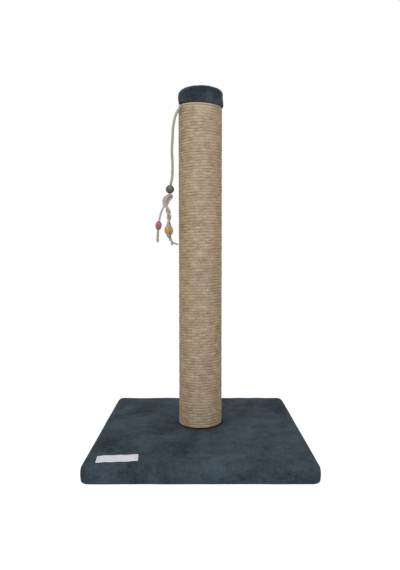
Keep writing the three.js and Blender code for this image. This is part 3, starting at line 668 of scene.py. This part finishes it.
def woven_tag():
    """The sewn tag: a thin slab, its skin waved a little, its ends turned under and its edges round."""
    length, width, thick = 70 * MM, 28 * MM, 0.75 * MM
    rows, angle = 70, around(26)
    u = np.linspace(-1, 1, rows)[:, None]
    squared, over = squarer(np.cos(angle), 0.25), squarer(np.sin(angle), 0.6)
    x = u * length / 2 + 0 * angle
    y = squared * width / 2 * (1 - 0.012 * np.abs(u) ** 12)
    body = 1 + 0.5 * np.clip((np.abs(u) - 0.93) / 0.07, 0, 1)
    taper = np.sqrt(np.clip(1 - np.clip((np.abs(u) - 0.985) / 0.015, 0, 1) ** 2, 0.05, 1))
    wave = 0.25 * MM * np.sin(9 * u + 0.7) + 0.12 * MM * np.sin(3 * squared + 4 * u)
    z = thick / 2 * over * body * taper + wave + BASE_TOP + 0.35 * MM
    c, s = math.cos(TAG_TURN), math.sin(TAG_TURN)
    points = np.stack([x * c - y * s + TAG_AT[0], x * s + y * c + TAG_AT[1], z], -1)
    return make_piece("sewn_tag", skin(points, np.arange(rows) * length / rows))


def staple(centre, along, outwards):
    """A steel staple's back, 10 mm long: a flat wire whose section is an ellipse and whose ends dip in."""
    share = np.linspace(-1, 1, 9)[:, None]
    ring = around(8)
    ease = np.sqrt(np.clip(1 - (np.abs(share) / 1.01) ** 8, 0.05, 1))
    middle = centre + 5 * MM * share * along - 0.35 * MM * share**4 * outwards
    wide, thick = 0.62 * MM * ease * np.cos(ring), 0.28 * MM * ease * np.sin(ring)
    return skin(rings_round(middle, np.cross(along, outwards), outwards, wide, thick))


def hem_staples():
    """Staples in the pressed line of the hem, every 40 mm, none of them quite straight."""
    bars = []
    for side in range(4):
        right, back = round_post(side * math.pi / 2)
        for k, place in enumerate(np.arange(-140, 141, 40.0)):
            tilt = 0.12 * math.sin(5.1 * k + side)
            centre = right * place * MM - back * 161.5 * MM + UP * 0.62 * MM
            bars.append(staple(centre, right * math.cos(tilt) - back * math.sin(tilt), -UP))
    return make_piece("hem_staples", *bars)


def rope_staples():
    """A staple over each end of the rope, at the back."""
    bars = []
    for turn, lift in ((0.03, 1.5 * MM), (ROPE_TURNS - 0.03, -1.5 * MM)):
        angle = TURN * turn + BACK
        centre = on_post(angle, ROPE_CENTRE + ROPE + 0.2 * MM, rope_height(turn) + lift)
        bars.append(staple(centre, UP, round_post(angle)[0]))
    return make_piece("rope_staples", *bars)


tag, pressed_staples, end_staples = woven_tag(), hem_staples(), rope_staples()

# --- Finishes ---


def linear(red, green, blue):
    """A colour as a picture shows it, 0 to 255, as the light it stands for."""
    share = np.array([red, green, blue]) / 255
    return (*np.where(share <= 0.04045, share / 12.92, ((share + 0.055) / 1.055) ** 2.4), 1.0)


class Nodes:
    """A short way to place and join nodes in a tree."""

    def __init__(self, tree):
        self.tree = tree

    def feed(self, socket, value):
        """Link a socket to another one, or set it to a value."""
        if isinstance(value, bpy.types.NodeSocket):
            self.tree.links.new(value, socket)
        else:
            socket.default_value = value

    def add(self, kind, inputs=None, **settings):
        node = self.tree.nodes.new("ShaderNode" + kind)
        for key, value in settings.items():
            setattr(node, key, value)
        for key, value in (inputs or {}).items():
            self.feed(node.inputs[key], value)
        return node

    def maths(self, operation, *values):
        return self.add("Math", dict(enumerate(values)), operation=operation).outputs[0]

    def weigh(self, *pairs, start=0.0):
        """The sum of values, each times its weight."""
        for value, weight in pairs:
            start = self.maths("MULTIPLY_ADD", value, weight, start)
        return start

    def use(self, tree, **inputs):
        """A node group in its place."""
        return self.add("Group", inputs, node_tree=tree).outputs

    def split(self, vector):
        return self.add("SeparateXYZ", {0: vector}).outputs

    def noise(self, vector, scale, detail, rough, distortion=0.0):
        inputs = {"Vector": vector, "Scale": scale, "Detail": detail}
        inputs |= {"Roughness": rough, "Distortion": distortion}
        return self.add("TexNoise", inputs).outputs["Fac"]

    def line_noise(self, place, detail):
        """Noise along a line, for a place given in units of its own grain."""
        inputs = {"W": place, "Scale": 1.0, "Detail": detail}
        return self.add("TexNoise", inputs, noise_dimensions="1D").outputs["Fac"]

    def ramp(self, value, low, high, start=0.0, end=1.0):
        """Start where a value is at its low, end where it is at its high, and even between them."""
        inputs = {"Value": value, "From Min": low, "From Max": high, "To Min": start, "To Max": end}
        return self.add("MapRange", inputs).outputs["Result"]

    def mix(self, factor, a, b, blend="MIX"):
        """Two colours mixed; three numbers are a colour as a picture shows it."""
        a, b = (linear(*colour) if isinstance(colour, tuple) else colour for colour in (a, b))
        return self.add("Mix", {0: factor, 6: a, 7: b}, data_type="RGBA", blend_type=blend).outputs[2]

    def finish(self, shader, colour, height, strength, distance):
        """Give a shader its colour and its bumps."""
        self.feed(shader["Base Color"], colour)
        bump = self.add("Bump", {"Height": height, "Strength": strength, "Distance": distance})
        self.feed(shader["Normal"], bump.outputs[0])


def group(name, numbers, results, vector=True):
    """A node group with an optional vector, numbers with their usual values, and results: its nodes, its
    input sockets and its output sockets."""
    tree = bpy.data.node_groups.new(name, "ShaderNodeTree")
    if vector:
        tree.interface.new_socket("Vector", in_out="INPUT", socket_type="NodeSocketVector")
    for label, value in numbers.items():
        tree.interface.new_socket(label, in_out="INPUT", socket_type="NodeSocketFloat").default_value = value
    for label in results:
        tree.interface.new_socket(label, in_out="OUTPUT", socket_type="NodeSocketFloat")
    return Nodes(tree), tree.nodes.new("NodeGroupInput").outputs, tree.nodes.new("NodeGroupOutput").inputs


def pile_group():
    """Plush pile: broad patches where the nap lies another way, clumps of pile, single tips, and strokes."""
    nodes, given, result = group("pile", {"Patch": 1.0, "Spread": 16.0}, ["Shade", "Height"])
    place = given["Vector"]
    broad = nodes.noise(place, given["Spread"], 3, 0.6, 0.4)
    clump = nodes.noise(place, 130, 3, 0.65, 0.6)
    tips = nodes.noise(place, 900, 2, 0.7)
    stretched = nodes.add("Mapping", {"Vector": place, "Scale": (1.0, 0.35, 1.0)}).outputs[0]
    strokes = nodes.noise(stretched, 240, 2, 0.6, 1.2)
    shade = nodes.weigh(
        (nodes.ramp(broad, 0.3, 0.7), given["Patch"]),
        (nodes.ramp(clump, 0.32, 0.68), 0.55),
        (nodes.ramp(tips, 0.3, 0.7), 0.75),
        (nodes.ramp(strokes, 0.3, 0.7), 0.45),
    )
    weights = nodes.maths("ADD", given["Patch"], 0.55 + 0.75 + 0.45)
    nodes.feed(result["Shade"], nodes.maths("DIVIDE", shade, weights))
    nodes.feed(result["Height"], nodes.weigh((clump, 0.5), (tips, 0.5)))
    return nodes.tree


def lay_group():
    """Three strands laid into a rope or cord, from the piece's own UV: its length in metres and the share
    round it. Crown is 0 in the grooves between strands and 1 on top of them, Fibre the fine lines along them,
    and Along the length."""
    results = ["Crown", "Fibre", "Along"]
    nodes, given, result = group("lay", {"Lay": 0.017, "Girth": 0.017}, results, vector=False)
    along, share, _ = nodes.split(nodes.add("UVMap", uv_map="UVMap").outputs[0])
    turns = nodes.maths("SUBTRACT", share, nodes.maths("DIVIDE", along, given["Lay"]))
    wave = nodes.maths("COSINE", nodes.maths("MULTIPLY", turns, 1.5 * TURN))
    spin = nodes.maths("MULTIPLY", turns, TURN)
    radius = nodes.maths("DIVIDE", given["Girth"], TURN)
    across = [nodes.maths("MULTIPLY", nodes.maths(way, spin), radius) for way in ("COSINE", "SINE")]
    inputs = dict(enumerate([nodes.maths("MULTIPLY", along, 0.12), *across]))
    place = nodes.add("CombineXYZ", inputs).outputs[0]
    nodes.feed(result["Crown"], nodes.maths("ABSOLUTE", wave))
    nodes.feed(result["Fibre"], nodes.noise(place, 2600, 3, 0.65))
    nodes.feed(result["Along"], along)
    return nodes.tree


def fleck_group():
    """Fine flecks and soft clouds over a surface, as one value about a half."""
    nodes, given, result = group("flecks", {"Scale": 300.0}, ["Value"])
    fine = nodes.noise(given["Vector"], given["Scale"], 3, 0.6)
    broad = nodes.noise(given["Vector"], nodes.maths("DIVIDE", given["Scale"], 12), 2, 0.5)
    nodes.feed(result["Value"], nodes.weigh((fine, 0.6), (broad, 0.4)))
    return nodes.tree


PILE, LAY, FLECKS = pile_group(), lay_group(), fleck_group()


def material(name, **constants):
    """A material with one Principled shader, its fixed values set on the shader's own sockets: the material,
    its nodes, Object coordinates and the shader's inputs."""
    item = bpy.data.materials.new(name)
    item.use_nodes = True
    nodes, shader = Nodes(item.node_tree), item.node_tree.nodes["Principled BSDF"].inputs
    for key, value in constants.items():
        shader[key.replace("_", " ")].default_value = value
    return item, nodes, nodes.add("TexCoord").outputs["Object"], shader


def plush_material(name, dark, light, patch, spread, sheen):
    """Plush: its shade from the pile, its patches of other nap strong by patch and fine by spread."""
    constants = {"Roughness": 0.95, "Sheen_Weight": sheen, "Sheen_Roughness": 0.6, "Specular_IOR_Level": 0.15}
    item, nodes, place, shader = material(name, **constants)
    pile = nodes.use(PILE, Vector=place, Patch=patch, Spread=spread)
    colour = nodes.mix(nodes.ramp(pile["Shade"], 0.2, 0.8), dark, light)
    nodes.finish(shader, colour, pile["Height"], 0.8, 1.6 * MM)
    return item


def cord_material(name, deep, pale, lay, girth, laid, patch, tints_and_side_shade=None, dip=None):
    """Laid cord: painted shade darkens it between its strands and it is pale on top of them, as far as laid
    says, with fine fibres along them.
    Patches and dashes along its length are lighter or darker, and a greener, a redder and a browner tint
    wander through it. The sides and the back, where the cord turns from the light, get a painted shade: a
    darker, more saturated tint that leaves the front paler. A dip is a height and the dye's colour below it."""
    item, nodes, place, shader = material(name, Roughness=0.85, Specular_IOR_Level=0.25, Sheen_Weight=0.1)
    strands = nodes.use(LAY, Lay=lay, Girth=girth)
    cloud = nodes.ramp(nodes.noise(place, 38, 3, 0.6), 0.3, 0.7)
    drifts = nodes.line_noise(nodes.maths("MULTIPLY", strands["Along"], 9.0), 4.0)
    dashes = nodes.line_noise(nodes.maths("MULTIPLY", strands["Along"], 55.0), 3.0)
    share = nodes.weigh(
        # Painted shade in the grooves between strands.
        (nodes.ramp(strands["Crown"], 0.0, 0.55), 0.42 * laid),
        (nodes.ramp(strands["Fibre"], 0.3, 0.7), 0.34),
        (cloud, 0.5 * patch),
        (drifts, patch),
        (nodes.ramp(dashes, 0.32, 0.68), patch),
        start=0.3 * (1 - laid) - (0.25 + 0.5 + 0.35) * patch,
    )
    colour = nodes.mix(nodes.ramp(share, 0.0, 0.84), deep, pale)
    x, y, z = nodes.split(place)
    if tints_and_side_shade:
        greener, redder, browner, side_shade_tint = tints_and_side_shade
        wander = nodes.ramp(nodes.noise(place, 30, 3, 0.7, 0.5), 0.35, 0.65)
        blotch = nodes.ramp(nodes.noise(place, 90, 2, 0.6), 0.45, 0.75, 0.0, 0.5)
        # Painted shade: a mask that rises towards the rope's sides, as seen from the front, and over its
        # back, where it turns from the light.
        across = nodes.weigh((nodes.noise(place, 24, 3, 0.6), 12 * MM), start=nodes.maths("ABSOLUTE", x))
        shaded_back = nodes.ramp(y, 0.0, 20 * MM)
        side_shade_mask = nodes.maths("MAXIMUM", nodes.ramp(across, 16 * MM, 36 * MM), shaded_back)
        colour = nodes.mix(1.0, colour, nodes.mix(wander, greener, redder), "MULTIPLY")
        colour = nodes.mix(blotch, colour, browner, "MULTIPLY")
        # The sides and the back take the painted shade tint, darker and more saturated.
        colour = nodes.mix(side_shade_mask, colour, side_shade_tint, "MULTIPLY")
    if dip:
        height, dye = dip
        below = nodes.ramp(z, height - 5 * MM, height + 5 * MM, 1.0, 0.0)
        colour = nodes.mix(below, colour, dye, "MULTIPLY")
    relief = nodes.weigh((strands["Crown"], 0.6 * laid), (strands["Fibre"], 0.4))
    nodes.finish(shader, colour, relief, 0.75, 0.5 * MM)
    return item


def flecked_material(name, dark, light, scale, low, high, rough, strength, distance=0.4 * MM, **constants):
    """Flecks between two colours: dark below low, light above high, and rough by a ramp of its own, which
    holds two values of the flecks and the roughness at each."""
    item, nodes, place, shader = material(name, **constants)
    flecks = nodes.use(FLECKS, Scale=scale, Vector=place)["Value"]
    nodes.feed(shader["Roughness"], nodes.ramp(flecks, *rough))
    nodes.finish(shader, nodes.mix(nodes.ramp(flecks, low, high), dark, light), flecks, strength, distance)
    return item


def even_finish(name, dark, light, scale, rough, strength, **constants):
    """Board, cardboard, zinc or loose fibre, as many of its flecks dark as light."""
    spread = (0.3, 0.7, rough - 0.08, rough + 0.08)
    return flecked_material(name, dark, light, scale, 0.32, 0.68, spread, strength, **constants)


def painted_bead(name, paint, worn):
    """Paint over turned wood: a little thinner and paler in flecks."""
    spread = (0.2, 0.8, 0.26, 0.46)
    relief = (0.15, 0.3 * MM)
    return flecked_material(name, paint, worn, 700.0, 0.5, 0.78, spread, *relief, Specular_IOR_Level=0.6)


def tag_material():
    """White woven ribbon: fine ribs across it, with a line of stitches near each end."""
    constants = {"Roughness": 0.7, "Sheen_Weight": 0.2, "Specular_IOR_Level": 0.3}
    item, nodes, place, shader = material("woven_ribbon", **constants)
    turned = {"Vector": place, "Location": (*TAG_AT, 0), "Rotation": (0, 0, TAG_TURN)}
    along, across, _ = nodes.split(nodes.add("Mapping", turned, vector_type="TEXTURE").outputs[0])
    wave = lambda value, pitch: nodes.maths("SINE", nodes.maths("MULTIPLY", value, TURN / pitch))
    rib = nodes.maths("ABSOLUTE", wave(along, 1.1 * MM))
    pick = nodes.maths("ABSOLUTE", wave(across, 1.4 * MM))
    weave = nodes.maths("MULTIPLY", rib, nodes.weigh((pick, 0.5), start=0.5))
    from_middle = nodes.maths("ABSOLUTE", along)
    from_seam = nodes.maths("ABSOLUTE", nodes.maths("SUBTRACT", from_middle, 31.5 * MM))
    seam = nodes.ramp(from_seam, 0.0, 0.7 * MM, 1.0, 0.0)
    stitch = nodes.maths("MULTIPLY", seam, nodes.ramp(wave(across, 2.8 * MM), -0.3, 0.1))
    colour = nodes.mix(nodes.ramp(weave, 0.0, 0.6), (192, 197, 205), (234, 237, 243))
    cloud = nodes.ramp(nodes.noise(place, 160, 3, 0.6), 0.35, 0.75, 0.0, 0.35)
    colour = nodes.mix(stitch, nodes.mix(cloud, colour, (200, 200, 210)), (150, 154, 160))
    nodes.finish(shader, colour, nodes.weigh((weave, 0.5), (stitch, -0.6)), 0.5, 0.25 * MM)
    return item


PLUSH_BASE = plush_material("base_pile", (27, 37, 45), (74, 87, 97), 1.3, 16, 0.0)
PLUSH_CAP = plush_material("cap_pile", (14, 20, 27), (59, 72, 80), 2.6, 38, 0.12)
# A greener, a redder and a browner tint, then the painted shade tint for the rope's sides and back.
SISAL_TINTS_AND_SIDE_SHADE = ((248, 250, 240), (255, 248, 245), (252, 240, 226), (246, 238, 226))
DYED = (HANG_HEIGHT - 232 * MM, (226, 250, 236))
# Each yarn's lay, its girth, how far its strands stand apart, which sets both the painted shade and the bumps
# in the grooves between them, and how patchy its colour is.
ROPE_YARN = (ROPE_LAY, 17.5 * MM, 0.3, 0.3)
CORD_YARN = (CORD_LAY, 11.3 * MM, 0.8, 0.15)
TAIL_YARN = (TAIL_LAY, 10.7 * MM, 0.7, 0.15)
SISAL = cord_material("sisal_rope", (112, 99, 83), (202, 184, 162), *ROPE_YARN, SISAL_TINTS_AND_SIDE_SHADE)
TIED = cord_material("tied_cord", (118, 109, 93), (198, 186, 165), *CORD_YARN)
COTTON = cord_material("cotton_cord", (100, 99, 90), (180, 178, 166), *CORD_YARN)
TAIL_COTTON = cord_material("tail_cord", (120, 105, 97), (198, 183, 174), *TAIL_YARN, dip=DYED)
GREY_COTTON = cord_material("end_cord", (102, 103, 94), (176, 177, 165), *TAIL_YARN)
FIBRE = even_finish("sisal_fibre", (158, 140, 112), (228, 214, 190), 90.0, 0.7, 0.0)
FRAY = even_finish("sisal_fray", (168, 152, 132), (216, 201, 184), 90.0, 0.8, 0.0)
STEEL = even_finish("zinc", (150, 154, 158), (196, 200, 204), 240.0, 0.35, 0.05, Metallic=1.0)
BOARD = even_finish("raw_board", (134, 104, 70), (186, 154, 112), 520.0, 0.8, 0.3)
CARD = even_finish("cardboard", (140, 112, 78), (188, 158, 120), 220.0, 0.85, 0.15)
TAG = tag_material()


def dress(piece, finish, record_slot, body, *nodes):
    """A piece's finish, its slot in the record, which is not used, the body it moves with and the nodes it
    stands for.
    """
    piece.data.materials.clear()
    piece.data.materials.append(finish)
    if body:
        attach(piece, body)
    if nodes:
        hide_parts(*nodes)


def dress_nodes(finish, *names):
    """A finish for the part's own solids that stay."""
    for name in names:
        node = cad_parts[name]
        if not node.material_slots:
            node.data.materials.append(finish)
        for slot in node.material_slots:
            slot.material = finish


dress(hanging_cord, COTTON, "cord", None, "toy_cord_top", "toy_cord")
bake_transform(hanging_cord)
dress(red_tail, TAIL_COTTON, "tail_cord", "red_tail", "red_tail_cord")
dress(orange_tail, TAIL_COTTON, "tail_cord", "twin_tail", "orange_tail_cord")
dress(olive_tail, TAIL_COTTON, "tail_cord", "twin_tail", "olive_tail_cord")
dress(toy_knot, TAIL_COTTON, "tail_cord", "toy_lower", "toy_knot")
dress(knot_collar, COTTON, "cord", "toy_lower")
dress(red_end, GREY_COTTON, "tail_cord", "red_tail", "red_tail_knot")
dress(tails_end, GREY_COTTON, "tail_cord", "twin_tail", "tails_knot")
for piece, name, paint, worn in (
    (green_bead, "green", (64, 72, 56), (112, 118, 98)),
    (red_bead, "red", (152, 74, 80), (182, 118, 118)),
    (orange_bead, "orange", (178, 138, 78), (200, 170, 122)),
    (olive_bead, "olive", (156, 150, 88), (188, 182, 130)),
):
    dress(piece, painted_bead(name + "_paint", paint, worn), *[name + "_bead"] * 3)
for piece, finish, record_slot, *stood_for in (
    (tie, TIED, "cord", "toy_tie"),
    (tie_knot, TIED, "cord"),
    (rope_foot, SISAL, "sisal", "rope_bottom_turns"),
    (rope_body, SISAL, "sisal", "rope_middle"),
    (rope_head, SISAL, "sisal", "rope_top_turns"),
    (fibres, FIBRE, "sisal"),
    (frays, FRAY, "sisal"),
    (base_plush_piece, PLUSH_BASE, "base_plush", "base_cover"),
    (cap_plush_piece, PLUSH_CAP, "cap_plush", "plush_cap"),
    (tag, TAG, "tag", "woven_tag"),
    (pressed_staples, STEEL, "zinc_steel"),
    (end_staples, STEEL, "zinc_steel"),
):
    dress(piece, finish, record_slot, "stand", *stood_for)
dress_nodes(BOARD, "base_board", "lower_plug", "upper_plug")
dress_nodes(CARD, "post_tube")
dress_nodes(STEEL, "base_bolt", "bolt_washer", "t_nut")

# --- Pile ---


def base_shows(place, normal):
    """True on the outside of the base's cover, on its top and its sides, but not by the tag or the post."""
    x, y, z = place.T
    reach, level = np.maximum(np.abs(x), np.abs(y)), normal[:, 2]
    outside = (z > 32 * MM) | ((place[:, :2] * normal[:, :2]).sum(1) > 0) & (reach > 180 * MM)
    top, side = (level > 0.3) & (z > 30 * MM), (np.abs(level) <= 0.75) & (reach > 183 * MM) & (z > 3.5 * MM)
    tagged = (np.abs(x + 141 * MM) < 36.5 * MM) & (np.abs(y + 174.5 * MM) < 18.5 * MM) & (z > 30 * MM)
    return outside & (top | side) & ~tagged & (np.hypot(x, y - POST_Y) > 46.5 * MM)


def cap_shows(place, normal):
    """True on the outside of the cap above its hem."""
    x, y, z = place.T
    return (z > 700 * MM) | (z > 672 * MM) & (np.hypot(x, y - POST_Y) > 42.6 * MM)


def plush_tips():
    """Pile tips over the base's top and sides and over the cap, leaning with a nap that wanders."""
    base_tips_per_m2, cap_tips_per_m2 = 230000, 900000
    place, normal = surface_samples(base_plush_piece, base_tips_per_m2, 21, base_shows)
    x, y, _ = place.T
    nap = np.stack([waviness(x, y, 0.09, 5), waviness(x, y, 0.09, 6), 0 * x], 1)
    tips = pile_tips("base_pile_tips", place, normal, nap * 0.8, 22, 1.9 * MM, 0.24 * MM)
    dress(tips, PLUSH_BASE, "base_plush", "stand")
    place, normal = surface_samples(cap_plush_piece, cap_tips_per_m2, 23, cap_shows)
    x, y, z = place.T
    nap = np.stack([waviness(x, z, 0.05, 7), waviness(y, z, 0.05, 8), 0 * x - 0.3], 1)
    tips = pile_tips("cap_pile_tips", place, normal, nap * 0.7, 24, 1.6 * MM, 0.22 * MM)
    dress(tips, PLUSH_CAP, "cap_plush", "stand")


plush_tips()

# --- Stage ---


def bare(item):
    """A new material's or world's node tree, emptied."""
    item.use_nodes = True
    item.node_tree.nodes.clear()
    return Nodes(item.node_tree)


def seen(nodes):
    """1 where the camera looks, straight or in or through a shiny surface, and 0 where only light falls."""
    path = nodes.add("LightPath").outputs
    mirrored = nodes.maths("MAXIMUM", path["Is Glossy Ray"], path["Is Transmission Ray"])
    return nodes.maths("MAXIMUM", path["Is Camera Ray"], mirrored)


def stage():
    """A white floor that keeps the object's shadow, and a white world behind it."""
    size, white = 12.0, (1, 1, 1, 1)
    corners = np.array([[-1, -1, 0], [1, -1, 0], [1, 1, 0], [-1, 1, 0]]) * size
    floor = make_mesh("floor", corners - 0.2 * MM * UP, [np.array([[0, 1, 2, 3]])])
    item = bpy.data.materials.new("white_floor")
    nodes = bare(item)
    diffuse = nodes.add("BsdfDiffuse", {"Color": (0.9, 0.9, 0.9, 1)}).outputs[0]
    glow = nodes.add("Emission", {"Color": white, "Strength": 1.1}).outputs[0]
    share = nodes.maths("MULTIPLY", seen(nodes), 0.9)
    mixed = nodes.add("MixShader", {0: share, 1: diffuse, 2: glow}).outputs[0]
    nodes.add("OutputMaterial", {"Surface": mixed})
    floor.data.materials.append(item)
    world = bpy.data.worlds.new("studio")
    bpy.context.scene.world = world
    nodes = bare(world)
    strength = nodes.add("MapRange", {"Value": seen(nodes), "To Min": 0.5, "To Max": 1.0}).outputs[0]
    back = nodes.add("Background", {"Color": white, "Strength": strength}).outputs[0]
    nodes.add("OutputWorld", {"Surface": back})


def lamp(name, place, target, size, power):
    """A square soft lamp that faces a point."""
    data = bpy.data.lights.new(name, "AREA")
    data.shape, data.size, data.energy = "SQUARE", size, power
    turned = Vector(np.subtract(target, place)).to_track_quat("-Z", "Y").to_matrix().to_4x4()
    add_object(name, data, turned, place)


stage()
lamp("key", (-0.2, -2.1, 2.1), (0, 0, 0.35), 1.2, 40)
bpy.context.scene.view_settings.view_transform = "Standard"
